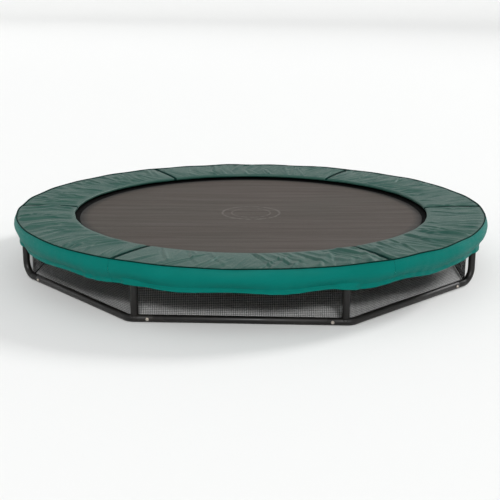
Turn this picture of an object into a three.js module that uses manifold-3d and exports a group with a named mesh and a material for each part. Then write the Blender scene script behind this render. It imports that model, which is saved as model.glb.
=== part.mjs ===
// A round, low-standing garden trampoline.
//
// A tubular top ring on eight legs carries a woven jumping mat on radial springs. Six padded
// sections with a hanging skirt cover the springs, and a fine net closes the sides below the ring.
//
// Units are millimetres, +Z is up, and the origin is on the ground under the centre of the mat.
// Angles are in degrees, counted from the front (-Y) and positive towards the right (+X).

import * as THREE from 'three';
import { mergeVertices } from 'three/addons/utils/BufferGeometryUtils.js';
import Module from 'manifold-3d';

const wasm = await Module();
wasm.setup();

// ---------------------------------------------------------------- driving dimensions

const HEIGHT = 350;            // top of the pads above the ground
const PAD_OUTER_R = 1525;
const PAD_WIDTH = 370;
const PAD_THICK = 24;
const PAD_TOP_FALL = 14;       // the top slopes down by this much towards the mat,
const PAD_SPRING_FALL = 3;     // of which this much over the springs
const PAD_DROOP = 12;          // and the underside by this much, from the mat's edge inwards
const PAD_COUNT = 6;
const SKIRT_DROP = 145;        // from the top of the pads to the skirt's hem
const SKIRT_THICK = 6;
const PAD_STEPS = 8;

const LEG_COUNT = 8;
const LEG_TURN = -2.5;         // the frame sits turned by this much against the pads' seams
const RING_R = 1485;           // centreline of the ring and of the legs' uprights
const TUBE_R = 21;
const TUBE_WALL = 2;
const SOCKET_WALL = 3;
const SOCKET_LENGTH = 60;
const SWAGE_LENGTH = 60;
const ELBOW_R = 80;
const PLAN_BEND_R = 60;
const UPRIGHT_TO_BEND = 32;    // along the base, from a tee leg's upright to its bend
const UPRIGHT_TO_JOINT = 100;  // along the base, from a tee leg's upright to the straight tube

const MAT_Z = 300;             // middle of the mat's thickness
const MAT_R = 1225;
const MAT_THICK = 3;
const WEBBING_R = 1262;
const WEBBING_THICK = 6;

const SPRING_COUNT = 16;
const SPRING_LEAD = 2.8125;    // degrees from the first leg to the first spring
const SPRING_R = 12;
const SPRING_HOOK_R = 3;
const SPRING_HOOK_LENGTH = 24;
const SPRING_SHOULDER = 4;     // half the length over which a hook widens to the coil
const SPRING_INNER_R = WEBBING_R + 1;
const SPRING_OUTER_R = RING_R - TUBE_R - 5;

const NET_THICK = 3;
const NET_CORNER_R = 1450;     // at the net's corners, one behind each leg
const NET_TOP_Z = 276;
const NET_BOTTOM_Z = 8;
const NET_END_GAP = 0.05;      // degrees left open at each end of a half

const BOLT_R = 4;
const BOLT_HEAD_R = 7.5;
const BOLT_HEAD_THICK = 5.5;
const BOLT_TIP = 2.75;         // shank showing past the nut
const BOLT_ROOT = 1;           // shank inside the head

const GAP = 0.3;               // between pieces that touch
const TUBE_SIDES = 12;
const BORE_SIDES = 8;
const BOLT_SIDES = 6;
const SPRING_SIDES = 6;
const MAT_SIDES = 48;
const RING_STEPS = 6;          // for each tube of the ring
const BEND_STEP = 22.5;        // degrees turned by each step of a bent tube

const LEG_PITCH = 360 / LEG_COUNT;
const RING_Z = HEIGHT - PAD_THICK - 1 - TUBE_R;
const UPRIGHT_TOP_Z = RING_Z - TUBE_R - GAP;
const BORE_R = TUBE_R - TUBE_WALL;
const SWAGE_R = BORE_R - 1;
const SWAGE_BORE_R = SWAGE_R - TUBE_WALL;

// ---------------------------------------------------------------- materials

const finish = (color, roughness, metalness) => () =>
  new THREE.MeshStandardMaterial({ color, roughness, metalness });

const blackCoat = finish(0x2a2826, 0.45, 0.3);
const zinc = finish(0xb9b4aa, 0.35, 0.9);
const springSteel = finish(0x9a9c9c, 0.3, 0.95);
const matWeave = finish(0x4c4743, 0.85, 0);
const blackWebbing = finish(0x1c1b1a, 0.8, 0);
const greenVinyl = finish(0x0e6b62, 0.5, 0);
const blackNet = finish(0x151515, 0.9, 0);

// ---------------------------------------------------------------- places

/** A point at an angle counted from the front, a radius from the middle and a height. */
function around(angle, radius, z) {
  const turn = THREE.MathUtils.degToRad(angle);
  return new THREE.Vector3(radius * Math.sin(turn), -radius * Math.cos(turn), z);
}

/** The unit vector that points outwards at an angle counted from the front. */
const outward = (angle) => around(angle, 1, 0);

/** The angle of a leg, counted from the leg at the front left. */
const legAngle = (index) => LEG_TURN - LEG_PITCH / 2 + index * LEG_PITCH;

/** The point reached from one point by going a distance towards another. */
function towards(from, to, distance) {
  return to.clone().sub(from).setLength(distance).add(from);
}

// ---------------------------------------------------------------- swept and joined solids

/** A path through given stations, one extrusion step for each pair of them. */
class StationPath extends THREE.Curve {
  constructor(stations) {
    super();
    this.stations = stations;
  }

  getPoint(t) {
    const last = this.stations.length - 1;
    const index = Math.min(Math.floor(t * last), last - 1);
    return this.stations[index].clone().lerp(this.stations[index + 1], t * last - index);
  }

  getPointAt(u) {
    return this.getPoint(u);
  }

  getTangentAt(u) {
    const last = this.stations.length - 1;
    const index = Math.round(u * last);
    const here = this.stations[index];
    const before = this.stations[Math.max(index - 1, 0)];
    const after = this.stations[Math.min(index + 1, last)];
    const incoming = here.clone().sub(before).normalize();
    const leaving = after.clone().sub(here).normalize();
    return incoming.add(leaving).normalize();
  }
}

/** An arc of the top ring's circle. */
class RingPath extends THREE.Curve {
  constructor(from, to) {
    super();
    this.from = from;
    this.to = to;
  }

  getPoint(t) {
    return around(this.from + (this.to - this.from) * t, RING_R, RING_Z);
  }
}

/** The stations of a polyline whose inner corners are rounded to the given radii. */
function filleted(corners, radii) {
  const stations = [corners[0]];
  for (let i = 1; i < corners.length - 1; i += 1) {
    const back = towards(corners[i], corners[i - 1], 1).sub(corners[i]);
    const ahead = towards(corners[i], corners[i + 1], 1).sub(corners[i]);
    const turn = Math.PI - back.angleTo(ahead);
    const reach = radii[i - 1] * Math.tan(turn / 2);
    const centreDistance = radii[i - 1] / Math.cos(turn / 2);
    const centre = back.clone().add(ahead).setLength(centreDistance).add(corners[i]);
    const start = corners[i].clone().addScaledVector(back, reach).sub(centre);
    const axis = ahead.clone().cross(back).normalize();
    const steps = Math.ceil(THREE.MathUtils.radToDeg(turn) / BEND_STEP);
    for (let s = 0; s <= steps; s += 1) {
      stations.push(start.clone().applyAxisAngle(axis, turn * s / steps).add(centre));
    }
  }
  stations.push(corners[corners.length - 1]);
  return stations;
}

/** The stations of an arc of the top ring's circle. */
function ringArc(from, to, steps) {
  return Array.from({ length: steps + 1 }, (_, i) =>
    around(from + (to - from) * i / steps, RING_R, RING_Z));
}

/** A regular outline with flat sides at the given distance, one of them facing down. */
function roundOutline(radius, sides) {
  const corner = radius / Math.cos(Math.PI / sides);
  return new THREE.Shape(Array.from({ length: sides }, (_, i) => {
    const turn = 2 * Math.PI * (i + 0.5) / sides;
    return new THREE.Vector2(corner * Math.cos(turn), corner * Math.sin(turn));
  }));
}

function sweep(outline, stations) {
  const path = new StationPath(stations);
  return new THREE.ExtrudeGeometry(outline, { steps: stations.length - 1, extrudePath: path });
}

/** A closed three.js geometry as a solid that can be joined and cut. */
function solid(geometry) {
  const bare = geometry.clone();
  bare.deleteAttribute('normal');
  bare.deleteAttribute('uv');
  const merged = mergeVertices(bare, 1e-4);
  return new wasm.Manifold(new wasm.Mesh({
    numProp: 3,
    vertProperties: new Float32Array(merged.attributes.position.array),
    triVerts: new Uint32Array(merged.index.array),
  }));
}

/** A solid back as a three.js geometry. */
function surface(body) {
  const mesh = body.getMesh();
  const geometry = new THREE.BufferGeometry();
  geometry.setAttribute('position', new THREE.BufferAttribute(mesh.vertProperties, 3));
  geometry.setIndex(new THREE.BufferAttribute(mesh.triVerts, 1));
  const faceted = geometry.toNonIndexed();
  faceted.computeVertexNormals();
  return faceted;
}

/** The solid round bar along a path, from its first station to its last. */
const bar = (stations, radius, sides) => solid(sweep(roundOutline(radius, sides), stations));

const straightBar = (from, to, radius, sides) => bar([from, to], radius, sides);

/** The same stations with both ends moved outwards, for a bore that cuts right through. */
function overrun(stations, distance) {
  const last = stations.length - 1;
  const first = towards(stations[1], stations[0], stations[1].distanceTo(stations[0]) + distance);
  const end = towards(
    stations[last - 1], stations[last],
    stations[last - 1].distanceTo(stations[last]) + distance,
  );
  return [first, ...stations.slice(1, last), end];
}

/** Cuts a bore along a path out of a solid. */
const bored = (body, stations, radius) => body.subtract(bar(stations, radius, BORE_SIDES));

// ---------------------------------------------------------------- bolts

/** Where a bolt sits: its middle, the way its head faces and half the width that it clamps. */
const boltPlace = (middle, axis, halfWidth) => ({ middle, axis, halfWidth });

/** Cuts a bolt's clearance hole. */
function drilled(body, place) {
  const reach = place.halfWidth + 2 * BOLT_HEAD_THICK;
  const from = place.middle.clone().addScaledVector(place.axis, -reach);
  const to = place.middle.clone().addScaledVector(place.axis, reach);
  return body.subtract(straightBar(from, to, BOLT_R + GAP, BOLT_SIDES));
}

/** A hexagon bolt with its nut: head, shank and nut in one piece. */
function boltGeometry(place) {
  const at = (distance) => place.middle.clone().addScaledVector(place.axis, distance);
  const seat = place.halfWidth + GAP;
  const tip = at(-seat - BOLT_HEAD_THICK - BOLT_TIP);
  const shank = straightBar(tip, at(seat + BOLT_ROOT), BOLT_R, BOLT_SIDES);
  const head = straightBar(at(seat), at(seat + BOLT_HEAD_THICK), BOLT_HEAD_R, BOLT_SIDES);
  const nut = straightBar(at(-seat - BOLT_HEAD_THICK), at(-seat), BOLT_HEAD_R, BOLT_SIDES);
  return surface(shank.add(head).add(nut));
}

// ---------------------------------------------------------------- top ring

const cornerRadius = (radius) => radius / Math.cos(Math.PI / TUBE_SIDES);
const SOCKET_BORE_R = cornerRadius(TUBE_R) + GAP;
const SOCKET_R = SOCKET_BORE_R + SOCKET_WALL;
const RING_PITCH = LEG_PITCH / RING_STEPS;

const socketBolt = (index) => boltPlace(
  around(legAngle(index), RING_R, UPRIGHT_TOP_Z - SOCKET_LENGTH / 2),
  outward(legAngle(index) + 90),
  cornerRadius(SOCKET_R),
);

/** The centreline of one tube of the ring: it starts and ends half a step from a corner. */
function ringTubePath(index) {
  const corners = ringArc(legAngle(index) - RING_PITCH, legAngle(index + 1), RING_STEPS + 1);
  const middle = (a, b) => a.clone().lerp(b, 0.5);
  const last = corners.length - 1;
  return [
    middle(corners[0], corners[1]),
    ...corners.slice(1, last),
    middle(corners[last - 1], corners[last]),
  ];
}

/** One curved tube of the ring, with its welded leg socket and its swaged end. */
function ringTubeGeometry(index) {
  const path = ringTubePath(index);
  const last = path.length - 1;
  const beyond = (distance) => towards(path[last], path[last - 1], -distance);
  const main = [towards(path[0], path[1], GAP), ...path.slice(1)];
  const swage = [beyond(-TUBE_WALL), beyond(SWAGE_LENGTH)];
  const socketTop = around(legAngle(index), RING_R, RING_Z);
  const socketFoot = around(legAngle(index), RING_R, UPRIGHT_TOP_Z - SOCKET_LENGTH);
  const socket = [socketTop, socketFoot];
  const boreTop = socketTop.clone().setZ(UPRIGHT_TOP_Z + GAP / 2);
  const socketBore = bar([boreTop, overrun(socket, 1)[1]], SOCKET_BORE_R, TUBE_SIDES);
  const outside = bar(main, TUBE_R, TUBE_SIDES)
    .add(bar(swage, SWAGE_R, TUBE_SIDES))
    .add(bar(socket, SOCKET_R, TUBE_SIDES));
  const mainBore = [...overrun(main, 1).slice(0, last), beyond(-2 * TUBE_WALL)];
  const swageBore = [beyond(-3 * TUBE_WALL), beyond(SWAGE_LENGTH + 1)];
  const hollow = bored(bored(outside, mainBore, BORE_R), swageBore, SWAGE_BORE_R);
  return surface(drilled(hollow.subtract(socketBore), socketBolt(index)));
}

// ---------------------------------------------------------------- base and legs

/** The foot of a leg's upright, on the centreline of the base tubes. */
const foot = (index) => around(legAngle(index), RING_R, TUBE_R);

/** A tee leg's places: its upright, its bend, both its joints, and the elbow leg beyond. */
function teeLegPlaces(index, innerNeighbour, outerNeighbour) {
  const upright = foot(index);
  const bend = towards(upright, foot(innerNeighbour), -UPRIGHT_TO_BEND);
  const elbow = foot(outerNeighbour);
  return {
    upright,
    bend,
    elbow,
    straightJoint: towards(upright, foot(innerNeighbour), UPRIGHT_TO_JOINT),
    elbowJoint: towards(elbow, bend, ELBOW_R + SWAGE_LENGTH),
    uprightBolt: socketBolt(index),
    elbowUprightBolt: socketBolt(outerNeighbour),
  };
}

/** The bolt through a swaged joint, half a swage inside the outer tube's end. */
function jointBolt(joint, inside) {
  const middle = towards(joint, inside, SWAGE_LENGTH / 2);
  const along = inside.clone().sub(joint);
  const side = new THREE.Vector3(-along.y, along.x, 0).normalize();
  const axis = side.dot(middle) > 0 ? side : side.negate();
  return boltPlace(middle, axis, TUBE_R);
}

const straightBolt = (places) => jointBolt(places.straightJoint, places.upright);
const elbowBolt = (places) => jointBolt(places.elbowJoint, places.bend);

/** A leg with a welded upright on a base tube that turns the corner. */
function teeLegGeometry(places) {
  const corners = [places.straightJoint, places.bend, places.elbowJoint];
  const base = filleted(corners, [PLAN_BEND_R]);
  const top = places.upright.clone().setZ(UPRIGHT_TOP_Z);
  const upright = [places.upright, top];
  const outside = bar(base, TUBE_R, TUBE_SIDES).add(bar(upright, TUBE_R, TUBE_SIDES));
  const opened = bored(outside, overrun(base, 1), BORE_R);
  const hollow = bored(opened, [upright[0], top.clone().setZ(UPRIGHT_TOP_Z + 1)], BORE_R);
  return [straightBolt(places), elbowBolt(places), places.uprightBolt].reduce(drilled, hollow);
}

/** A leg whose tube comes along the ground and bends up, with a swaged end. */
function elbowLegGeometry(places) {
  const shoulder = towards(places.elbow, places.bend, ELBOW_R + SWAGE_LENGTH - GAP);
  const tip = towards(places.elbow, places.bend, ELBOW_R + 2 * SWAGE_LENGTH);
  const top = places.elbow.clone().setZ(UPRIGHT_TOP_Z);
  const tube = filleted([shoulder, places.elbow, top], [ELBOW_R]);
  const swage = [tip, towards(shoulder, places.elbow, 1)];
  const outside = bar(tube, TUBE_R, TUBE_SIDES).add(bar(swage, SWAGE_R, TUBE_SIDES));
  const boreStart = towards(shoulder, places.elbow, TUBE_WALL);
  const tubeBore = [boreStart, ...overrun(tube, 1).slice(1)];
  const hollow = bored(bored(outside, tubeBore, BORE_R), overrun([tip, boreStart], 1), SWAGE_BORE_R);
  return [elbowBolt(places), places.elbowUprightBolt].reduce(drilled, hollow);
}

/** The straight tube between two tee legs, swaged at both ends. */
function straightTubeGeometry(left, right) {
  const from = left.straightJoint;
  const to = right.straightJoint;
  const main = [towards(from, to, GAP), towards(to, from, GAP)];
  const whole = [towards(from, to, -SWAGE_LENGTH), towards(to, from, -SWAGE_LENGTH)];
  const outside = straightBar(...main, TUBE_R, TUBE_SIDES)
    .add(straightBar(...whole, SWAGE_R, TUBE_SIDES));
  const wide = [towards(from, to, 2 * TUBE_WALL), towards(to, from, 2 * TUBE_WALL)];
  const hollow = bored(bored(outside, wide, BORE_R), overrun(whole, 1), SWAGE_BORE_R);
  return [straightBolt(left), straightBolt(right)].reduce(drilled, hollow);
}

// ---------------------------------------------------------------- mat and springs

/** A disc or ring between two radii, centred on the mat's level. */
function flatRing(innerR, outerR, thickness) {
  const z = thickness / 2;
  const profile = innerR > 0
    ? [[innerR, -z], [outerR, -z], [outerR, z], [innerR, z], [innerR, -z]]
    : [[0, -z], [outerR, -z], [outerR, z], [0, z]];
  const points = profile.map(([r, y]) => new THREE.Vector2(r, y));
  const ring = new THREE.LatheGeometry(points, MAT_SIDES).rotateX(Math.PI / 2);
  return ring.translate(0, 0, MAT_Z);
}

/** A coil spring's envelope, lying outwards from the mat's edge to the ring. */
function springGeometry() {
  const half = (SPRING_OUTER_R - SPRING_INNER_R) / 2;
  const shoulder = half - SPRING_HOOK_LENGTH;
  const profile = [
    [0, -half],
    [SPRING_HOOK_R, -half],
    [SPRING_HOOK_R, -shoulder - SPRING_SHOULDER],
    [SPRING_R, -shoulder + SPRING_SHOULDER],
    [SPRING_R, shoulder - SPRING_SHOULDER],
    [SPRING_HOOK_R, shoulder + SPRING_SHOULDER],
    [SPRING_HOOK_R, half],
    [0, half],
  ];
  return new THREE.LatheGeometry(profile.map(([r, y]) => new THREE.Vector2(r, y)), SPRING_SIDES);
}

// ---------------------------------------------------------------- pads and net

/** A section of [radius, height] points swept round the middle from one angle to another. */
function ringSweep(section, from, to, steps) {
  const outline = new THREE.Shape(section.map(([r, z]) =>
    new THREE.Vector2(RING_Z - z, RING_R - r)));
  const extrudePath = new RingPath(from, to);
  return new THREE.ExtrudeGeometry(outline, { steps, extrudePath });
}

/** One padded section: the pad over the springs, with the skirt hanging from its rim. */
function padGeometry(index) {
  const inner = PAD_OUTER_R - PAD_WIDTH;
  const skirtInner = PAD_OUTER_R - SKIRT_THICK;
  const underside = HEIGHT - PAD_THICK;
  const hem = HEIGHT - SKIRT_DROP;
  const section = [
    [inner, underside - PAD_DROOP],
    [WEBBING_R, underside],
    [skirtInner, underside],
    [skirtInner, hem],
    [PAD_OUTER_R, hem],
    [PAD_OUTER_R, HEIGHT],
    [WEBBING_R, HEIGHT - PAD_SPRING_FALL],
    [inner, HEIGHT - PAD_TOP_FALL],
  ];
  const span = 360 / PAD_COUNT;
  const seam = THREE.MathUtils.radToDeg(GAP / inner);
  const start = (index - 0.5) * span + seam;
  return ringSweep(section, start, start + span - 2 * seam, PAD_STEPS);
}

/** Half of the net: a wall of flat panels just inside the legs and the base tubes. */
function netGeometry(middle) {
  const corners = [-1.5, -0.5, 0.5, 1.5].map((step) => step * LEG_PITCH);
  const end = 90 - NET_END_GAP;
  const outline = (cornerR) => {
    const endR = cornerR * Math.cos(THREE.MathUtils.degToRad(LEG_PITCH / 2));
    const turned = corners.map((angle) => around(middle + angle, cornerR, 0));
    return [around(middle - end, endR, 0), ...turned, around(middle + end, endR, 0)];
  };
  const thickness = NET_THICK / Math.cos(THREE.MathUtils.degToRad(LEG_PITCH / 2));
  const plan = [...outline(NET_CORNER_R), ...outline(NET_CORNER_R - thickness).reverse()];
  const shape = new THREE.Shape(plan.map(({ x, y }) => new THREE.Vector2(x, y)));
  const options = { depth: NET_TOP_Z - NET_BOTTOM_Z, bevelEnabled: false };
  return new THREE.ExtrudeGeometry(shape, options).translate(0, 0, NET_BOTTOM_Z);
}

// ---------------------------------------------------------------- the trampoline

const trampoline = new THREE.Group();

function add(name, geometry, material) {
  const mesh = new THREE.Mesh(geometry, material());
  mesh.name = name;
  trampoline.add(mesh);
  return mesh;
}

for (let i = 0; i < LEG_COUNT; i += 1) {
  add(`ring_tube_${i + 1}`, ringTubeGeometry(i), blackCoat);
  add(`socket_bolt_${i + 1}`, boltGeometry(socketBolt(i)), zinc);
}

// Legs 0 and 1 stand at the front; each half of the base is elbow, tee, straight tube, tee, elbow.
for (const [half, first] of [['front', 0], ['back', 4]]) {
  const next = (step) => (first + step + LEG_COUNT) % LEG_COUNT;
  const sides = {
    left: teeLegPlaces(next(0), next(1), next(-1)),
    right: teeLegPlaces(next(1), next(0), next(2)),
  };
  add(`base_tube_${half}`, surface(straightTubeGeometry(sides.left, sides.right)), blackCoat);
  for (const [side, places] of Object.entries(sides)) {
    add(`tee_leg_${half}_${side}`, surface(teeLegGeometry(places)), blackCoat);
    add(`elbow_leg_${half}_${side}`, surface(elbowLegGeometry(places)), blackCoat);
    add(`tee_bolt_${half}_${side}`, boltGeometry(straightBolt(places)), zinc);
    add(`elbow_bolt_${half}_${side}`, boltGeometry(elbowBolt(places)), zinc);
  }
}

add('jumping_mat', flatRing(0, MAT_R, MAT_THICK), matWeave);
add('mat_webbing', flatRing(MAT_R + GAP, WEBBING_R, WEBBING_THICK), blackWebbing);

const springMiddleR = (SPRING_OUTER_R + SPRING_INNER_R) / 2;
for (let i = 0; i < SPRING_COUNT; i += 1) {
  const angle = legAngle(0) + SPRING_LEAD + i * 360 / SPRING_COUNT;
  const spring = add(`spring_${i + 1}`, springGeometry(), springSteel);
  spring.position.copy(around(angle, springMiddleR, MAT_Z));
  spring.quaternion.setFromUnitVectors(new THREE.Vector3(0, 1, 0), outward(angle));
}

for (let i = 0; i < PAD_COUNT; i += 1) {
  add(`pad_${i + 1}`, padGeometry(i), greenVinyl);
}

add('net_front', netGeometry(LEG_TURN), blackNet);
add('net_back', netGeometry(LEG_TURN + 180), blackNet);

export default trampoline;
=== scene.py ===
"""A round, low-standing garden trampoline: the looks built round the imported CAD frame.

Metres, +Z up. Angles are in degrees, counted from the front (-Y) and positive towards the right.
"""

import math

import bmesh
import bpy
import numpy as np
from mathutils import Matrix, Vector


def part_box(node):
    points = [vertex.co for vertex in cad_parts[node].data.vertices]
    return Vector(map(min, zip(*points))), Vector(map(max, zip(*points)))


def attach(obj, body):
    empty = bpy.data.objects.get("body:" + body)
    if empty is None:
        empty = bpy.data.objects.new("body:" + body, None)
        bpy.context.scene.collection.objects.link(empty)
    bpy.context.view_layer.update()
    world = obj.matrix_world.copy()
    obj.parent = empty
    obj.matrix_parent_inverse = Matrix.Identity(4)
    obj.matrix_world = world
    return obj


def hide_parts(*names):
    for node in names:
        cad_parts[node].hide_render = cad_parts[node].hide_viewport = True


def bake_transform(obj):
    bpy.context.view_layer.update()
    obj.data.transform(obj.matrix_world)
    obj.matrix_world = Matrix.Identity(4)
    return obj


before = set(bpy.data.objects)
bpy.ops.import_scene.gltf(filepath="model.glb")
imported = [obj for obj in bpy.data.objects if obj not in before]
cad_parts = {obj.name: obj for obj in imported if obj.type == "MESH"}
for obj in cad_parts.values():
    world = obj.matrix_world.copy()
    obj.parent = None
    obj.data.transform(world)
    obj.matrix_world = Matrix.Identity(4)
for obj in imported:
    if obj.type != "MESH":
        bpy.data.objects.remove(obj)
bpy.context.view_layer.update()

# ---- driving dimensions

PAD_LOW, PAD_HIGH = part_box("pad_1")
MAT_LOW, MAT_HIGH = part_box("jumping_mat")
WEBBING_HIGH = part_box("mat_webbing")[1]
RING_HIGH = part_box("ring_tube_1")[1]

TOP_Z = PAD_HIGH[2]
RIM_R = -PAD_LOW[1]
HEM_Z = PAD_LOW[2]
PAD_WIDTH = 0.370
PAD_INNER_R = RIM_R - PAD_WIDTH
PAD_THICK = 0.024
PAD_BOTTOM_Z = TOP_Z - PAD_THICK + 0.0005
PAD_TOP_FALL = 0.014  # how far the top of a pad slopes down towards the mat
PAD_DROOP = 0.012  # and its underside, from the mat's edge inwards
PAD_COUNT = 6
PAD_SPAN = 360 / PAD_COUNT

LEG_COUNT = 8
LEG_PITCH = 360 / LEG_COUNT
LEG_TURN = -2.5
TUBE_R = 0.021
TUBE_WALL = 0.002
TUBE_EASE = 0.0015  # how far a tube's ends are rounded
RING_R = 1.485
RING_Z = RING_HIGH[2] - TUBE_R
RING_JOINT_LEAD = 3.75  # degrees from a ring tube's start to its socket
SOCKET_R = 0.025
SOCKET_LENGTH = 0.060
GAP = 0.0003
UPRIGHT_TOP_Z = RING_Z - TUBE_R - GAP
SWAGE_LENGTH = 0.060
SWAGE_LAP = 0.010  # how far a reduced end starts inside its own tube
SWAGE_R = TUBE_R - TUBE_WALL - 0.001
ELBOW_R = 0.080
PLAN_BEND_R = 0.060
UPRIGHT_TO_BEND = 0.032
UPRIGHT_TO_JOINT = 0.100
BOLT_R = 0.004
BOLT_HEAD_R = 0.0075
BOLT_HEAD_THICK = 0.0055
WASHER_R = 0.0092
WASHER_THICK = 0.0012
THREAD_PITCH = 0.0012
THREAD_DEPTH = 0.0003

MAT_Z = (MAT_LOW[2] + MAT_HIGH[2]) / 2
MAT_R = MAT_HIGH[0]
MAT_THICK = 0.0016
MAT_SAG = 0.006
WEBBING_R = WEBBING_HIGH[0]
WEBBING_WIDTH = 0.045
WEBBING_THICK = 0.0052
# the inner edge of the black strip that paints the shade under the pads' inner edge
SHADE_BAND_R = PAD_INNER_R - 0.030

SPRING_COUNT = 64
SPRING_PITCH = 360 / SPRING_COUNT
CAD_SPRING_STEP = 4  # every fourth spring has a CAD node
SPRING_WIRE_R = 0.0016
SPRING_COIL_R = 0.0104
SPRING_TURNS = 32
SPRING_INNER_R = 1.276
SPRING_OUTER_R = RING_R - TUBE_R + 0.002
SPRING_HOOK_R = 0.006
MAT_RING_APEX_R = SPRING_INNER_R + 0.006
MAT_RING_HALF = 0.017

NET_CORNER_R = 1.4485  # at the net's corners, one behind each leg
NET_TOP_Z = 0.276
NET_BOTTOM_Z = 0.010
NET_PITCH = 0.0100
NET_STRAND = 0.0016
NET_STEP = 0.05  # between the points of a level strand

LENS = 69.26
CAMERA_PLACE = (-0.0057, -6.267, 1.743)
CAMERA_PITCH = 15.23
CAMERA_ROLL = 0.155


# ---- small tools

def around(angle, radius, z):
    """Points at an angle from the front, a radius from the middle and a height, as rows."""
    turn = np.radians(angle)
    x, y, z = np.broadcast_arrays(radius * np.sin(turn), -radius * np.cos(turn), z)
    return np.stack([x, y, z], axis=-1)


def smooth_step(low, high, value):
    """0 at low, 1 at high, with an eased rise between."""
    t = np.clip((value - low) / (high - low), 0, 1)
    return t * t * (3 - 2 * t)


def unit(vectors):
    return vectors / np.linalg.norm(vectors, axis=-1, keepdims=True)


def leg_angle(index):
    return LEG_TURN - LEG_PITCH / 2 + index * LEG_PITCH


def ripple(seed, low, high, count=7):
    """A random smooth function of the angle that closes round the circle, from about -1 to 1."""
    rng = np.random.default_rng(seed)
    orders = rng.integers(low, high + 1, count)
    phases = rng.uniform(0, 2 * math.pi, count)
    sizes = rng.uniform(0.5, 1.0, count)

    def value(angle):
        turn = np.radians(np.asarray(angle, float))[..., None]
        return (sizes * np.sin(orders * turn + phases)).sum(-1) / sizes.sum() * 1.8
    return value


def grid_faces(rows, columns, rows_close=False, columns_close=False):
    """Quads over rows x columns of points, optionally closing on themselves either way."""
    r = np.arange(rows if rows_close else rows - 1)
    c = np.arange(columns if columns_close else columns - 1)
    r, c = np.meshgrid(r, c, indexing="ij")
    r2, c2 = (r + 1) % rows, (c + 1) % columns
    quads = np.stack([r * columns + c, r * columns + c2, r2 * columns + c2, r2 * columns + c], -1)
    return quads.reshape(-1, 4).tolist()


def new_mesh(name, points, faces):
    """A smooth mesh with its faces turned outwards."""
    mesh = bpy.data.meshes.new(name)
    mesh.from_pydata(points.tolist(), [], faces)
    bm = bmesh.new()
    bm.from_mesh(mesh)
    bmesh.ops.recalc_face_normals(bm, faces=bm.faces)
    bm.to_mesh(mesh)
    bm.free()
    mesh.polygons.foreach_set("use_smooth", [True] * len(mesh.polygons))
    return mesh


def new_object(name, data):
    """An object that is linked into the scene."""
    made = bpy.data.objects.new(name, data)
    bpy.context.scene.collection.objects.link(made)
    return made


def piece(name, parts, material, body, replaces=(), crease=None):
    """One object from a list of (points, faces), riding on a body."""
    points, faces, start = [], [], 0
    for some_points, some_faces in parts:
        points.append(np.asarray(some_points, float).reshape(-1, 3))
        faces += [[int(i) + start for i in face] for face in some_faces]
        start += len(points[-1])
    mesh = new_mesh(name, np.concatenate(points), faces)
    if crease:
        mesh.set_sharp_from_angle(angle=math.radians(crease))
    mesh.materials.append(material)
    made = new_object(name, mesh)
    if body:
        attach(made, body)
    if replaces:
        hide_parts(*replaces)
    return made


def path_frames(points, closed):
    """Tangents and two turning-free side directions along a path."""
    ahead = np.roll(points, -1, 0) - points
    behind = points - np.roll(points, 1, 0)
    if not closed:
        ahead[-1] = behind[-1]
        behind[0] = ahead[0]
    tangents = unit(unit(ahead) + unit(behind))
    side = np.cross(tangents[0], (0, 0, 1))
    if np.linalg.norm(side) < 0.1:
        side = np.cross(tangents[0], (1, 0, 0))
    sides = []
    for tangent in tangents:
        side = unit(side - tangent * (side @ tangent))
        sides.append(side)
    sides = np.array(sides)
    return sides, np.cross(tangents, sides)


def solid_faces(rows, columns):
    """The faces of rings of points one after another, with a cap on the first and the last."""
    last = (rows - 1) * columns
    caps = [list(range(columns))[::-1], list(range(last, last + columns))]
    return grid_faces(rows, columns, False, True) + caps


def sweep(points, outline, closed=False):
    """A closed solid: an outline of (side, up) points carried along a path."""
    points = np.asarray(points, float)
    outline = np.asarray(outline, float)
    sides, ups = path_frames(points, closed)
    shaped = (points[:, None] + outline[None, :, :1] * sides[:, None]
              + outline[None, :, 1:] * ups[:, None])
    rows, columns = len(points), len(outline)
    if closed:
        return shaped, grid_faces(rows, columns, True, True)
    return shaped, solid_faces(rows, columns)


def circle(radius, sides):
    turn = 2 * math.pi * np.arange(sides) / sides
    return np.stack([radius * np.cos(turn), radius * np.sin(turn)], -1)


def rod(points, radius, sides, closed=False):
    """A solid round bar along a path."""
    return sweep(points, circle(radius, sides), closed)


def tube(points, radius, sides=24):
    """A hollow tube along a path, its two ends slightly rounded."""
    points = np.asarray(points, float)
    start = towards(points[0], points[1], TUBE_EASE)
    end = towards(points[-1], points[-2], TUBE_EASE)
    stations = np.concatenate([points[:1], [start], points[1:-1], [end], points[-1:]])
    sideways, upwards = path_frames(stations, False)
    round_points = circle(1, sides)
    ring = round_points[:, :1] * sideways[:, None] + round_points[:, 1:] * upwards[:, None]
    outer = np.full((len(stations), 1, 1), radius)
    outer[[0, -1]] = radius - TUBE_EASE / 2
    inner_skin = stations[:, None] + ring * (radius - TUBE_WALL)
    shaped = np.concatenate([stations[:, None] + ring * outer, inner_skin[::-1]])
    return shaped, grid_faces(len(shaped), sides, True, True)


def lathe(profile, sides, middle, axis):
    """A solid of revolution from (distance along the axis, radius) points, closed at both ends."""
    across = np.cross(axis, (0, 0, 1))
    if np.linalg.norm(across) < 0.1:
        across = np.cross(axis, (1, 0, 0))
    across = unit(across)
    round_points = circle(1, sides)
    ring = round_points[:, :1] * across + round_points[:, 1:] * np.cross(axis, across)
    profile = np.asarray(profile, float)
    shaped = middle + profile[:, :1, None] * axis + profile[:, 1:, None] * ring[None]
    return shaped, solid_faces(len(profile), sides)


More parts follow.
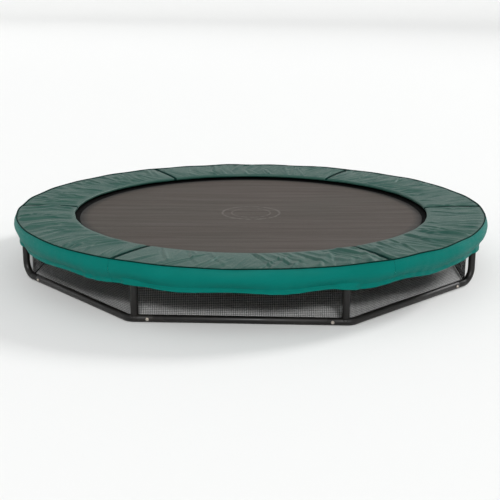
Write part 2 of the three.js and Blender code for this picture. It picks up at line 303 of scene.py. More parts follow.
def fillet(corners, radii, step):
    """A polyline whose inner corners are rounded to the given radii."""
    corners = [Vector(c) for c in corners]
    path = [corners[0]]
    for before, corner, after, radius in zip(corners, corners[1:], corners[2:], radii):
        back = (before - corner).normalized()
        ahead = (after - corner).normalized()
        turn = math.pi - back.angle(ahead)
        centre = corner + (back + ahead).normalized() * (radius / math.cos(turn / 2))
        arm = corner + back * (radius * math.tan(turn / 2)) - centre
        axis = ahead.cross(back).normalized()
        steps = max(2, math.ceil(math.degrees(turn) / step))
        turned = [Matrix.Rotation(turn * i / steps, 3, axis) @ arm for i in range(steps + 1)]
        path += [centre + offset for offset in turned]
    path.append(corners[-1])
    return np.array([tuple(p) for p in path])


def towards(start, end, distance):
    """The point that lies a distance from the start on the way to the end."""
    start, end = np.asarray(start, float), np.asarray(end, float)
    return start + unit(end - start) * distance


# ---- materials

class Shader:
    """A material's node tree, with short calls for the nodes used here."""

    def __init__(self, name):
        self.material = bpy.data.materials.new(name)
        self.material.use_nodes = True
        self.tree = self.material.node_tree
        self.surface = self.tree.nodes["Principled BSDF"]

    def node(self, kind, links=None, **values):
        made = self.tree.nodes.new(kind)
        for key, value in values.items():
            setattr(made, key, value)
        for socket, source in (links or {}).items():
            self.put(made.inputs[socket], source)
        return made

    def put(self, socket, source):
        if isinstance(source, bpy.types.NodeSocket):
            self.tree.links.new(source, socket)
        else:
            socket.default_value = source

    def set(self, **values):
        for key, value in values.items():
            self.put(self.surface.inputs[key.replace("_", " ")], value)

    def place(self, scale=(1, 1, 1)):
        """Object coordinates stretched along each axis, in metres."""
        place = self.node("ShaderNodeTexCoord").outputs["Object"]
        return self.node("ShaderNodeMapping", {"Vector": place, "Scale": scale}).outputs[0]

    def noise(self, place, scale, detail=3, roughness=0.55):
        links = {"Vector": place, "Scale": scale, "Detail": detail, "Roughness": roughness}
        return self.node("ShaderNodeTexNoise", links).outputs["Fac"]

    def wave(self, place, scale, direction):
        links = {"Vector": place, "Scale": scale}
        return self.node("ShaderNodeTexWave", links, bands_direction=direction).outputs["Fac"]

    def weave(self, place, scale):
        """The squares of a plain weave, seen from above."""
        return self.math("MULTIPLY", self.wave(place, scale, "X"), self.wave(place, scale, "Y"))

    def spread(self, value, low, high, to_low=0.0, to_high=1.0):
        """The value from low to high, spread from to_low to to_high."""
        links = {"Value": value, "From Min": low, "From Max": high,
                 "To Min": to_low, "To Max": to_high}
        return self.node("ShaderNodeMapRange", links).outputs[0]

    def math(self, operation, a, b):
        return self.node("ShaderNodeMath", {0: a, 1: b}, operation=operation).outputs[0]

    def mix(self, share, first, second):
        links = {"Factor": share, 6: first, 7: second}
        return self.node("ShaderNodeMix", links, data_type="RGBA").outputs[2]

    def ring(self, radius, middle, half):
        """One on a ring of the given middle radius and half width, else nothing."""
        off = self.math("ABSOLUTE", self.math("SUBTRACT", radius, middle), 0.0)
        return self.math("LESS_THAN", off, half)

    def bump(self, height, distance, strength, normal=None):
        links = {"Height": height, "Distance": distance, "Strength": strength}
        if normal is not None:
            links["Normal"] = normal
        return self.node("ShaderNodeBump", links).outputs[0]


def colour(r, g, b):
    """A linear colour from its 0-255 screen values."""
    def linear(value):
        value /= 255
        return value / 12.92 if value <= 0.04045 else ((value + 0.055) / 1.055) ** 2.4
    return (linear(r), linear(g), linear(b), 1.0)


def vinyl(name, main, worn, roughness, gloss):
    """PVC-coated scrim: a fine square weave under the skin, soft mottling and light scuffs."""
    s = Shader(name)
    place = s.place()
    mottle = s.noise(place, 6.0, 4)
    scuff = s.noise(s.place((1, 1, 4)), 34.0, 5, 0.7)
    scuffed = s.spread(scuff, 0.4, 0.75, 0.35, 1.0)
    base = s.mix(s.math("MULTIPLY", s.spread(mottle, 0.35, 0.7), scuffed), main, worn)
    drop = s.wave(place, 210.0, "Z")
    weave = s.math("ADD", s.weave(place, 210.0), s.math("MULTIPLY", drop, 0.5))
    creased = s.bump(s.noise(place, 19.0, 4, 0.6), 0.004, 0.35)
    s.set(Base_Color=base, Normal=s.bump(weave, 0.0003, 0.5, creased),
          Roughness=s.spread(scuff, 0.3, 0.8, roughness - 0.06, roughness + 0.1),
          Specular_IOR_Level=gloss)
    return s.material


def powder_coat():
    """Black powder coat over steel: a fine orange peel, dusty low down, with small scuffs."""
    s = Shader("black_powder_coat")
    place = s.place()
    dust = s.noise(place, 9.0, 5, 0.65)
    height = s.node("ShaderNodeSeparateXYZ", {0: s.node("ShaderNodeTexCoord").outputs["Object"]})
    low_down = s.spread(height.outputs["Z"], 0.12, 0.0)
    share = s.math("MULTIPLY", s.spread(dust, 0.42, 0.75), s.spread(low_down, 0.0, 1.0, 0.35, 0.9))
    base = s.mix(share, colour(9, 8, 7), colour(30, 27, 23))
    peel = s.noise(place, 420.0, 2)
    s.set(Base_Color=base, Normal=s.bump(peel, 0.0003, 0.35),
          Roughness=s.spread(dust, 0.3, 0.8, 0.38, 0.62), Specular_IOR_Level=0.34)
    return s.material


def bare_steel(name, bright, dull, roughness):
    """Zinc-plated steel with a mottled, slightly dulled plating."""
    s = Shader(name)
    place = s.place()
    spangle = s.noise(place, 90.0, 3, 0.6)
    base = s.mix(s.spread(spangle, 0.35, 0.7), bright, dull)
    s.set(Base_Color=base, Metallic=0.9, Normal=s.bump(spangle, 0.0003, 0.25),
          Roughness=s.spread(spangle, 0.3, 0.7, roughness, roughness + 0.18))
    return s.material


MARK_R = 0.19


def mat_weave():
    """Black woven polypropylene, weathered brown-grey and streaked, with a plain worn mark, and
    painted shade that darkens it near the pads' inner edge.
    """
    s = Shader("mat_weave")
    place = s.place()
    streak = s.noise(s.place((0.6, 16, 1)), 2.2, 5, 0.6)
    thread = s.noise(s.place((3, 240, 1)), 2.0, 3, 0.6)
    cloud = s.noise(place, 1.3, 3)
    warm = s.mix(s.spread(cloud, 0.35, 0.65), colour(63, 56, 49), colour(67, 57, 51))
    streaked = s.mix(s.spread(streak, 0.35, 0.7, 0.0, 0.5), warm, colour(48, 42, 37))
    worn = s.mix(s.spread(thread, 0.45, 0.75, 0.0, 0.3), streaked, colour(82, 73, 65))
    flat = s.node("ShaderNodeVectorMath", {0: place, 1: (1, 1, 0)}, operation="MULTIPLY").outputs[0]
    radius = s.node("ShaderNodeVectorMath", {0: flat}, operation="LENGTH").outputs["Value"]
    # painted shade: towards the pads' inner edge the mat turns near black, where the pads shade it
    base = s.mix(s.spread(radius, PAD_INNER_R - 0.09, PAD_INNER_R - 0.025), worn, colour(10, 10, 9))
    rings = s.math("ADD", s.ring(radius, MARK_R, 0.007), s.ring(radius, 0.68 * MARK_R, 0.004))
    left = s.spread(s.noise(s.place((1, 3, 1)), 24.0, 5, 0.7), 0.42, 0.62, 0.0, 0.34)
    base = s.mix(s.math("MULTIPLY", rings, left), base, colour(168, 164, 158))
    s.set(Base_Color=base, Normal=s.bump(s.weave(place, 180.0), 0.0005, 0.6),
          Roughness=s.spread(streak, 0.3, 0.7, 0.62, 0.8), Specular_IOR_Level=0.35)
    return s.material


def woven_band(name, main, worn, scale):
    """Woven webbing or knitted strap: close ribs with a little fluff and fading."""
    s = Shader(name)
    place = s.place()
    fading = s.noise(place, 30.0, 4)
    ribs = s.wave(place, scale, "DIAGONAL")
    cross = s.wave(place, scale, "Z")
    base = s.mix(s.spread(fading, 0.4, 0.75), main, worn)
    s.set(Base_Color=base, Roughness=s.spread(fading, 0.3, 0.7, 0.7, 0.9),
          Normal=s.bump(s.math("ADD", ribs, cross), 0.0005, 0.6), Specular_IOR_Level=0.04)
    return s.material


# the pad tops are the same vinyl as the skirts, given a darker, greyer colour as painted reflection
# of the pale sky seen at a grazing angle
PAD_TOP = vinyl("vinyl_top", colour(24, 69, 60), colour(58, 88, 78), 0.48, 0.34)
SKIRT = vinyl("vinyl_skirt", colour(0, 100, 91), colour(4, 106, 98), 0.46, 0.05)
DARK_TRIM = woven_band("dark_green_binding", colour(0, 32, 28), colour(4, 48, 42), 260.0)
BLACK_COAT = powder_coat()
ZINC = bare_steel("zinc_plate", colour(200, 192, 182), colour(150, 144, 136), 0.3)
SPRING_STEEL = bare_steel("spring_steel", colour(176, 178, 178), colour(128, 130, 130), 0.24)
MAT_WEAVE = mat_weave()
WEBBING = woven_band("black_webbing", colour(5, 5, 5), colour(14, 14, 13), 220.0)
NET = woven_band("black_net", colour(6, 6, 6), colour(16, 16, 16), 400.0)
THREAD = woven_band("green_thread", colour(20, 78, 70), colour(40, 96, 88), 900.0)


# ---- camera, lights and floor

def make_camera():
    data = bpy.data.cameras.new("camera")
    data.lens = LENS
    camera = new_object("camera", data)
    tilt = Matrix.Rotation(math.radians(90 - CAMERA_PITCH), 4, "X")
    roll = Matrix.Rotation(math.radians(CAMERA_ROLL), 4, "Z")
    camera.matrix_world = Matrix.Translation(CAMERA_PLACE) @ tilt @ roll
    bpy.context.scene.camera = camera


def make_sun(name, azimuth, elevation, softness, power):
    """A far, soft light: where it stands, in degrees round from the front and above the floor."""
    data = bpy.data.lights.new(name, "SUN")
    data.angle = math.radians(softness)
    data.energy = power
    rise = math.radians(elevation)
    place = Vector(around(azimuth, math.cos(rise), math.sin(rise)))
    new_object(name, data).rotation_euler = place.to_track_quat("Z", "Y").to_euler()


FLOOR_R = 50  # the flat part of the floor
FLOOR_RISE = 26  # the radius and height of its curve beyond
FLOOR_BELOW = 0.001  # how far it lies below the base tubes


def make_stage():
    """A pale floor that curves up far away, so that every view ends on it, and an even sky."""
    rise = np.radians(np.linspace(0, 90, 19))
    radius = np.concatenate([[0.5, 5, 20], FLOOR_R + FLOOR_RISE * np.sin(rise)])
    height = np.concatenate([[0, 0, 0], FLOOR_RISE * (1 - np.cos(rise))]) - FLOOR_BELOW
    rings = around(np.arange(0, 360, 3)[None, :], radius[:, None], height[:, None])
    faces = grid_faces(len(radius), rings.shape[1], False, True)
    mesh = new_mesh("floor", rings.reshape(-1, 3), faces + [list(range(rings.shape[1]))])
    floor = new_object("floor", mesh)
    s = Shader("pale_floor")
    s.set(Base_Color=(0.82, 0.82, 0.81, 1.0), Roughness=0.9)
    mesh.materials.append(s.material)
    world = bpy.data.worlds.new("studio")
    world.use_nodes = True
    sky = world.node_tree.nodes["Background"]
    sky.inputs["Color"].default_value = (0.97, 0.985, 1.0, 1.0)
    sky.inputs["Strength"].default_value = 0.56
    bpy.context.scene.world = world
    bpy.context.scene.view_settings.view_transform = "Standard"


make_camera()
make_stage()
make_sun("key", 4, 32, 10, 2.1)
make_sun("rim", 128, 28, 12, 1.6)


# ---- cloth

SETTLE_FRAMES = 16


def cloth_object(cloth):
    """A temporary object with Blender's cloth on it: its placed points, its cut and its hold."""
    rows, columns = cloth["start"].shape[:2]
    mesh = bpy.data.meshes.new("settling")
    mesh.from_pydata(cloth["start"].reshape(-1, 3).tolist(), [], grid_faces(rows, columns))
    made = new_object("settling", mesh)
    made.shape_key_add(name="placed")
    cut = made.shape_key_add(name="cut")
    cut.data.foreach_set("co", cloth["cut"].reshape(-1))
    held = made.vertex_groups.new(name="held")
    levels = np.round(cloth["held"].reshape(-1), 2)
    for level in np.unique(levels):
        held.add(np.flatnonzero(levels == level).tolist(), float(level), "REPLACE")
    settings = made.modifiers.new("settle", "CLOTH").settings
    settings.quality = 5
    settings.mass = 0.3
    settings.tension_stiffness = 20
    settings.compression_stiffness = 20
    settings.shear_stiffness = 8
    settings.bending_stiffness = cloth["bending"]
    settings.air_damping = 2
    settings.vertex_group_mass = "held"
    settings.pin_stiffness = 1
    settings.rest_shape_key = cut
    settings.use_pressure = cloth["pressure"] != 0
    settings.uniform_pressure_force = cloth["pressure"]
    settings.effector_weights.gravity = cloth["gravity"]
    return made


def settle(cloths):
    """Runs the cloths together and returns where their points end, none moved past its cap."""
    scene = bpy.context.scene
    objects = [cloth_object(cloth) for cloth in cloths]
    for frame_number in range(1, SETTLE_FRAMES + 1):
        scene.frame_set(frame_number)
    depsgraph = bpy.context.evaluated_depsgraph_get()
    settled = []
    for cloth, made in zip(cloths, objects):
        points = np.empty(cloth["start"].size, np.float32)
        made.evaluated_get(depsgraph).data.vertices.foreach_get("co", points)
        moved = points.reshape(cloth["start"].shape) - cloth["start"]
        length = np.maximum(np.linalg.norm(moved, axis=-1, keepdims=True), 1e-9)
        settled.append(cloth["start"] + moved * np.minimum(1, cloth["cap"] / length))
    for made in objects:
        mesh = made.data
        bpy.data.objects.remove(made)
        bpy.data.meshes.remove(mesh)
    scene.frame_set(1)
    return settled


def outward_normals(grid):
    """Unit normals of a hanging grid of points, pointing away from the trampoline's middle."""
    normal = unit(np.cross(np.gradient(grid, axis=0), np.gradient(grid, axis=1)))
    return normal * np.sign((normal[..., :2] * grid[..., :2]).sum(-1).mean())


# ---- padded edge

RIM_WAVE = ripple(11, 9, 34)
RIM_SWAY = ripple(12, 9, 30)
RIM_INSET = 0.004  # the outer top fold, in from the CAD rim
RIM_DROP = 0.004  # and below the CAD top
RIM_SWAY_HEIGHT = 0.0032
RIM_SWAY_REACH = 0.0022
INNER_WAVE = ripple(31, 12, 40)
INNER_SWAY = 0.0025
RIM_DEPTH = 0.0055  # how far the cover lies below the CAD top
CROWN = 0.0035  # and how far its middle swells back up
SWELL = 0.0014
FINE_CREASES = {"count": 52, "widths": (0.007, 0.014), "heights": (0.0014, 0.0045)}
BROAD_CREASES = {"count": 15, "widths": (0.015, 0.028), "heights": (0.0030, 0.0070)}
CREASE_VALLEY = 0.7  # depth of the valley beside a crease, for its height
CREASE_VALLEY_OFF = 1.7  # and its distance, for the crease's width
SEAM_HALF = 0.017  # the valley between two pads
TAPE_RISE = 0.0062  # of the seam tape above the floor of that valley
TAPE_HALF = 0.0105
TAPE_THICK = 0.0012
PIPING_R = 0.0042
SEAM_DIP = 0.0085
BULLNOSE = 0.009
PAD_COLUMNS = 290
PAD_ROWS = 50
PAD_END_GAP = 0.0010
SLACK_ALONG = 0.06  # how much longer a cover is cut than its place
SLACK_ACROSS = 0.006
COVER_CAP = 0.007  # the furthest that a point may move as the cloth settles
SKIRT_CAP = 0.005
COVER_HOLD = 0.35


def rim(angle):
    """The outer top fold that a pad and its skirt share: radius and height."""
    radius = RIM_R - RIM_INSET + RIM_SWAY_REACH * RIM_SWAY(angle)
    return radius, TOP_Z - RIM_DROP + RIM_SWAY_HEIGHT * RIM_WAVE(angle)


def cover_height(share, angle):
    """The smooth top of a cover, at a share of the way out to the rim."""
    crown = CROWN * np.sin(math.pi * share) ** 0.6 - (PAD_TOP_FALL - RIM_DEPTH) * (1 - share) ** 2
    rim_rise = rim(angle)[1] - TOP_Z + RIM_DROP
    return TOP_Z - RIM_DEPTH + crown + rim_rise * share ** 3


def pad_creases(rng, long_way, lean, count, widths, heights):
    """Random creases across a pad: start and end as (along, share across), width and height."""
    creases = []
    for _ in range(count):
        along = rng.uniform(0, long_way)
        from_rim = rng.random() < 0.6
        reach = rng.uniform(0.3, 1.0)
        tilt = rng.normal(lean, 0.035)
        first = (along, 1.0 if from_rim else 0.0)
        last = (along + tilt * reach, 1.0 - reach if from_rim else reach)
        creases.append((first, last, rng.uniform(*widths), rng.uniform(*heights)))
    return creases


def crease_height(along, across, creases):
    """The height that creases add at places on a pad, all in metres."""
    total = np.zeros(np.broadcast(along, across).shape)
    for (x0, share0), (x1, share1), width, height in creases:
        y0, y1 = share0 * PAD_WIDTH, share1 * PAD_WIDTH
        length = math.hypot(x1 - x0, y1 - y0)
        ux, uy = (x1 - x0) / length, (y1 - y0) / length
        ahead = (along - x0) * ux + (across - y0) * uy
        aside = (across - y0) * ux - (along - x0) * uy
        taper = smooth_step(-0.02, 0.05, ahead) * smooth_step(length + 0.02, length - 0.10, ahead)
        ridge = np.exp(-(aside / width) ** 2)
        valley = np.exp(-((aside - CREASE_VALLEY_OFF * width) / width) ** 2)
        total += height * taper * (ridge - CREASE_VALLEY * valley)
    return total


def span_angles(index, gap, count):
    """Angles from one end of a pad to the other, with a gap left at each end."""
    start = (index - 0.5) * PAD_SPAN
    gap = math.degrees(gap / RIM_R)
    return np.linspace(start + gap, start + PAD_SPAN - gap, count)


def pad_cover(index):
    """The top of one pad's cover, creased, with the slack that lets it wrinkle when it settles."""
    rng = np.random.default_rng(100 + index)
    angle = span_angles(index, PAD_END_GAP, PAD_COLUMNS)
    middle = angle.mean()
    share = np.linspace(0, 1, PAD_ROWS)[None, :]
    long_way = math.radians(PAD_SPAN) * (PAD_INNER_R + RIM_R) / 2
    along = np.linspace(0, long_way, PAD_COLUMNS)[:, None]
    rim_r = rim(angle)[0]
    inner_r = PAD_INNER_R + BULLNOSE + INNER_SWAY * INNER_WAVE(angle)
    radius = inner_r[:, None] + (rim_r - inner_r)[:, None] * share
    lean = rng.choice([-0.10, 0.10]) if index else 0.16
    creases = pad_creases(rng, long_way, lean, **FINE_CREASES)
    creases += pad_creases(rng, long_way, lean, **BROAD_CREASES)
    from_end = np.minimum(along, long_way - along)
    held_down = smooth_step(0.0, 0.025, from_end) * smooth_step(0, 0.06, share)
    near_rim = 1 - 0.5 * smooth_step(0.92, 1.0, share)
    swell = SWELL * ripple(200 + index, 14, 60)(angle)[:, None] * np.sin(math.pi * share) ** 0.5
    dip = SEAM_DIP * np.exp(-(from_end / SEAM_HALF) ** 2)
    smooth = cover_height(share, angle[:, None]) - dip
    creased = held_down * near_rim * crease_height(along, share * PAD_WIDTH, creases)
    height = smooth + swell + creased
    start = around(angle[:, None], radius, height)

    shear = math.degrees(0.02 * lean) * (share - 0.5)
    cut_angle = middle + (angle[:, None] - middle) * (1 + SLACK_ALONG) + shear
    cut_radius = rim_r.mean() + (radius - rim_r.mean()) * (1 + SLACK_ACROSS)
    cut = around(cut_angle, cut_radius, np.broadcast_to(smooth, radius.shape))
    edge_of_grid = np.minimum(from_end / 0.006, np.minimum(share, 1 - share) * (PAD_ROWS - 1))
    held = np.broadcast_to(np.where(edge_of_grid < 1, 1.0, COVER_HOLD), radius.shape)
    return {"start": start, "cut": cut, "held": held, "bending": 0.15,
            "pressure": 0.6, "gravity": 0.0, "cap": COVER_CAP}


def pad_nose(angle, radius, top_z):
    """The rounded inner edge of a pad, from its underside up to its top."""
    turn = np.radians(np.linspace(-90, 90, 12)[:-1])
    middle_z = (top_z + (PAD_BOTTOM_Z - PAD_DROOP)) / 2
    height = middle_z + (top_z - middle_z) * np.sin(turn)
    return around(angle, radius - BULLNOSE * np.cos(turn), height)


def pad_solid(index, top):
    """The closed skin of a pad: its settled top, a rounded inner edge, a flat back and two ends."""
    angle = span_angles(index, PAD_END_GAP, PAD_COLUMNS)
    rim_r, rim_z = rim(angle)
    inner_r = np.hypot(top[:, 0, 0], top[:, 0, 1])
    inner_side = pad_nose(angle[:, None], inner_r[:, None], top[:, :1, 2])
    slope = np.linspace(WEBBING_R + 0.05, PAD_INNER_R + 0.03, 9)
    under_r = np.concatenate([[RIM_R - 0.016], slope])
    past_webbing = np.clip((WEBBING_R - under_r) / (WEBBING_R - PAD_INNER_R), 0, 1)
    under_z = PAD_BOTTOM_Z - PAD_DROOP * past_webbing
    outer_r = np.stack([rim_r - 0.0005, rim_r - 0.003, rim_r - 0.008], 1)
    outer_z = np.stack([rim_z - 0.006, rim_z - 0.014, np.full(PAD_COLUMNS, PAD_BOTTOM_Z)], 1)
    outer_side = around(angle[:, None], outer_r, outer_z)
    under = around(angle[:, None], under_r[None, :], under_z[None, :])
    points = np.concatenate([inner_side, top, outer_side, under], 1)
    loop = points.shape[1]
    faces = grid_faces(PAD_COLUMNS, loop, False, True)
    last = (PAD_COLUMNS - 1) * loop
    faces += [list(range(loop)), list(range(last, last + loop))[::-1]]
    return points, faces


BULGE = ripple(41, 7, 22)
HEM_WAVE = ripple(52, 10, 24)
HEM_DRAW = ripple(63, 5, 16)
GATHERS = ripple(74, 70, 150, 16)
SKIRT_ROWS = 34
SKIRT_COLUMNS = 300
SKIRT_THICK = 0.0012
SKIRT_END_GAP = 0.0008
SKIRT_SLACK = 0.018
STITCHED_ROWS = (2, SKIRT_ROWS - 5)
STITCH_LIFT = 0.0014


def from_leg(angle):
    """How many degrees an angle is from the nearest leg."""
    return np.abs((angle - LEG_TURN) % LEG_PITCH - LEG_PITCH / 2)


def skirt_cloth(index):
    """One skirt panel hung from the fold: it bulges, gathers and is drawn in at its hem."""
    angle = span_angles(index, SKIRT_END_GAP, SKIRT_COLUMNS)[:, None]
    share = np.linspace(0, 1, SKIRT_ROWS)[None, :]
    rim_r, rim_z = rim(angle)
    hem_z = HEM_Z + 0.004 - 0.007 * HEM_WAVE(angle)
    out = (0.017 + 0.005 * BULGE(angle)) * np.sin(math.pi * np.clip(share / 0.8, 0, 1)) ** 0.8
    drawn_in = (0.018 + 0.006 * HEM_DRAW(angle)) * smooth_step(0.35, 1.0, share) ** 1.3
    gather_size = 0.0006 + 0.0022 * smooth_step(0.5, 1.0, share)
    gathers = GATHERS(angle) * gather_size * smooth_step(0, 0.1, share)
    radius = rim_r + out - drawn_in + gathers
    at_leg = smooth_step(3.4, 1.2, from_leg(angle))
    radius = radius + at_leg * np.maximum(0, RING_R + SOCKET_R + 0.006 - radius)
    height = rim_z + (hem_z - rim_z) * share
    middle = index * PAD_SPAN
    cut_angle = middle + (angle - middle) * (1 + SKIRT_SLACK)
    cut = around(cut_angle, radius - gathers, height)
    held = np.full(radius.shape, 0.45)
    held[:, :2] = 1.0
    held[[0, -1]] = 1.0
    held[:, -1] = 0.8
    return {"start": around(angle, radius, height), "cut": cut, "held": held, "bending": 0.1,
            "pressure": 0.0, "gravity": 0.3, "cap": SKIRT_CAP}


def skirt_skin(grid):
    """A thin closed skin about a grid of points, with a thicker turned-up hem."""
    outward = outward_normals(grid)
    share = np.linspace(0, 1, SKIRT_ROWS)[None, :, None]
    half = SKIRT_THICK / 2 * (1 + 1.2 * smooth_step(0.84, 0.88, share))
    points = np.concatenate([grid + outward * half, (grid - outward * half)[:, ::-1]], 1)
    loop = points.shape[1]
    faces = grid_faces(SKIRT_COLUMNS, loop, False, True)
    for base in (0, (SKIRT_COLUMNS - 1) * loop):
        faces += [[base + i, base + i + 1, base + loop - 2 - i, base + loop - 1 - i]
                  for i in range(SKIRT_ROWS - 1)]
    return points, faces


def stitches(points, outward, pitch=0.008, length=0.0055, radius=0.0006):
    """A row of stitches lying on a line of points, a little proud of the surface."""
    steps = np.linalg.norm(np.diff(points, axis=0), axis=1)
    place = np.concatenate([[0], np.cumsum(steps)])
    starts = np.arange(pitch / 2, place[-1] - length, pitch)
    take = lambda values, at: np.stack([np.interp(at, place, values[:, i]) for i in range(3)], 1)
    a, b = take(points, starts), take(points, starts + length)
    out = take(outward, starts + length / 2)
    side = unit(np.cross(b - a, out))
    middle = (a + b) / 2
    corners = [a, middle + side * radius, middle + out * radius, middle - side * radius,
               middle - out * radius, b]
    body = np.stack(corners, 1)
    one = np.array([[0, 1, 2], [0, 2, 3], [0, 3, 4], [0, 4, 1],
                    [5, 2, 1], [5, 3, 2], [5, 4, 3], [5, 1, 4]])
    faces = (one[None] + 6 * np.arange(len(body))[:, None, None]).reshape(-1, 3)
    return body, faces


def seam_tape(index):
    """The flat tape sewn over the joint between a pad and the next, and down over their noses."""
    angle = (index + 0.5) * PAD_SPAN
    share = np.linspace(0, 1, 40)
    inner_r = PAD_INNER_R + BULLNOSE
    radius = inner_r + (RIM_R - RIM_INSET - inner_r) * share
    low = cover_height(share, angle) - SEAM_DIP + TAPE_RISE
    line = np.concatenate([pad_nose(angle, inner_r, low[0]), around(angle, radius, low)])
    half, thick = TAPE_HALF, TAPE_THICK
    outline = [(-half, -thick), (half, -thick), (half, 0),
               (0.6 * half, thick), (-0.6 * half, thick), (-half, 0)]
    return sweep(line, outline)


def make_pads():
    """The six pads, each with its skirt, piping, stitching and the tape to the next pad."""
    cloths = [pad_cover(i) for i in range(PAD_COUNT)] + [skirt_cloth(i) for i in range(PAD_COUNT)]
    settled = settle(cloths)
    for index in range(PAD_COUNT):
        number = index + 1
        top, hung = settled[index], settled[PAD_COUNT + index]
        pad = piece(f"pad_cover_{number}", [pad_solid(index, top)], PAD_TOP, "frame",
                    [f"pad_{number}"], crease=70)
        skirt = piece(f"pad_skirt_{number}", [skirt_skin(hung)], SKIRT, "frame",
                      crease=60)
        angle = span_angles(index, 0, 160)
        rim_r, rim_z = rim(angle)
        piping = rod(around(angle, rim_r - 0.0004, rim_z + 0.0006), PIPING_R, 12)
        outward = outward_normals(hung)
        rows = [stitches(hung[:, row] + outward[:, row] * STITCH_LIFT, outward[:, row])
                for row in STITCHED_ROWS]
        piece(f"piping_{number}", [piping], DARK_TRIM, "frame")
        piece(f"skirt_stitching_{number}", rows, THREAD, "frame")
        tape = [seam_tape(index)]
        piece(f"seam_tape_{number}", tape, DARK_TRIM, "frame", crease=50)


make_pads()


# ---- jumping mat and its edge

MAT_SPOKES = 160


def mat_disc():
    """A thin round sheet that sags a little: upper and lower skins of rings, closed at the rim."""
    rings = np.concatenate([[0.02], np.linspace(0.08, MAT_R - GAP, 40)])
    turn = np.arange(MAT_SPOKES) * 360 / MAT_SPOKES
    sag = (-MAT_SAG * (1 - (rings / MAT_R) ** 2))[:, None]
    upper = around(turn[None, :], rings[:, None], MAT_Z + sag + MAT_THICK / 2)
    lower = around(turn[None, :], rings[:, None], MAT_Z + sag - MAT_THICK / 2)
    points = np.concatenate([upper, lower[::-1]])
    faces = grid_faces(len(points), MAT_SPOKES, False, True)
    first = list(range(MAT_SPOKES))
    last = [i + (len(points) - 1) * MAT_SPOKES for i in first]
    return points, faces + [first, last]


def closed_band(angle, radius, height):
    """A band round the mat, from the loop of points that is its section at each angle."""
    points = around(angle[:, None], radius, height)
    return points, grid_faces(*points.shape[:2], True, True)


def webbing_band():
    """The webbing folded over the mat's edge, drawn out a little at each metal ring."""
    angle = np.arange(768) * 360 / 768
    pull = np.abs(((angle - leg_angle(0)) / SPRING_PITCH) % 1 - 0.5) * 2
    edge = WEBBING_R - 0.0030 * smooth_step(0.1, 0.9, pull)
    inner = np.full(len(angle), WEBBING_R - WEBBING_WIDTH)
    turn = np.radians(np.linspace(-90, 90, 7))
    half = WEBBING_THICK / 2
    outer_r = edge[:, None] - half + half * np.cos(turn)
    outer_z = MAT_Z + half * np.broadcast_to(np.sin(turn), outer_r.shape)
    inner_r = np.stack([inner, inner - 0.0006, inner], 1)
    inner_z = np.broadcast_to([MAT_Z + half, MAT_Z, MAT_Z - half], inner_r.shape)
    radius = np.concatenate([outer_r, inner_r], 1)
    height = np.concatenate([outer_z, inner_z], 1)
    return closed_band(angle, radius, height)


def shade_band():
    """A flat black strip round the mat, just inside the pads: a dark sheet put where the pads shade
    the mat, as painted shade.
    """
    angle = np.arange(360)
    outer_r = WEBBING_R - WEBBING_WIDTH
    radius = np.array([SHADE_BAND_R, SHADE_BAND_R + 0.001, outer_r, outer_r])
    sag = -MAT_SAG * (1 - (radius / MAT_R) ** 2)
    height = MAT_Z + sag + MAT_THICK / 2 + np.array([0.0001, 0.0014, 0.0014, 0.0001])
    return closed_band(angle, radius, height)


def mat_ring(angle):
    """A rounded triangle of wire through the webbing's edge, which one spring hooks into."""
    middle = around(angle, WEBBING_R - 0.012, MAT_Z)
    side = around(angle + 90, 1.0, 0.0)
    apex = around(angle, MAT_RING_APEX_R, MAT_Z)
    corners = [middle, middle + side * MAT_RING_HALF, apex, middle - side * MAT_RING_HALF, middle]
    return rod(fillet(corners, [0.004, 0.004, 0.004], 30)[:-1], 0.0018, 6, closed=True)


def spring_angle(index):
    return leg_angle(0) + SPRING_PITCH * (index + 0.5)


def make_mat():
    mat = piece("jumping_mat_cloth", [mat_disc()], MAT_WEAVE, "mat",
                ["jumping_mat"], crease=40)
    band = piece("mat_webbing_band", [webbing_band()], WEBBING, "mat",
                 ["mat_webbing"])
    # painted shade: a black strip on the mat where the pads shade it
    piece("mat_shade_band", [shade_band()], WEBBING, "mat")
    rings = [mat_ring(spring_angle(i)) for i in range(SPRING_COUNT)]
    piece("mat_rings", rings, SPRING_STEEL, "mat")
    turn = np.linspace(0, 360, 721)
    up = np.broadcast_to([0.0, 0.0, 1.0], (len(turn), 3))
    rows = []
    for inset in (0.004, 0.020, WEBBING_WIDTH - 0.005):
        for face in (1, -1):
            height = MAT_Z + face * (WEBBING_THICK / 2 + 0.0001)
            line = around(turn, WEBBING_R - inset - 0.003, height)
            rows.append(stitches(line, up * face, 0.006, 0.0045, 0.0005))
    piece("mat_stitching", rows, THREAD, "mat")


make_mat()


# ---- springs

def spring_path():
    """One spring's wire as (along, up, side) points: a hook, a close coil and a hook."""
    length = SPRING_OUTER_R - SPRING_INNER_R
    coil_start = 0.020
    coil_end = length - coil_start
    bend = np.radians(np.linspace(60, 320, 12))
    hook = np.stack([SPRING_HOOK_R * (1 + np.cos(bend)), SPRING_HOOK_R * np.sin(bend), 0 * bend], 1)
    count = SPRING_TURNS * 8
    turn = np.linspace(0, 2 * math.pi * SPRING_TURNS, count + 1)
    along = np.linspace(coil_start, coil_end, count + 1)
    coil = np.stack([along, -SPRING_COIL_R * np.cos(turn), SPRING_COIL_R * np.sin(turn)], 1)
    ease = [[0.0155, -0.0070, 0.0]]
    mirror = lambda part: (np.asarray(part) * (-1, 1, 1) + (length, 0, 0))[::-1]
    return np.concatenate([hook, ease, coil, mirror(ease), mirror(hook)])


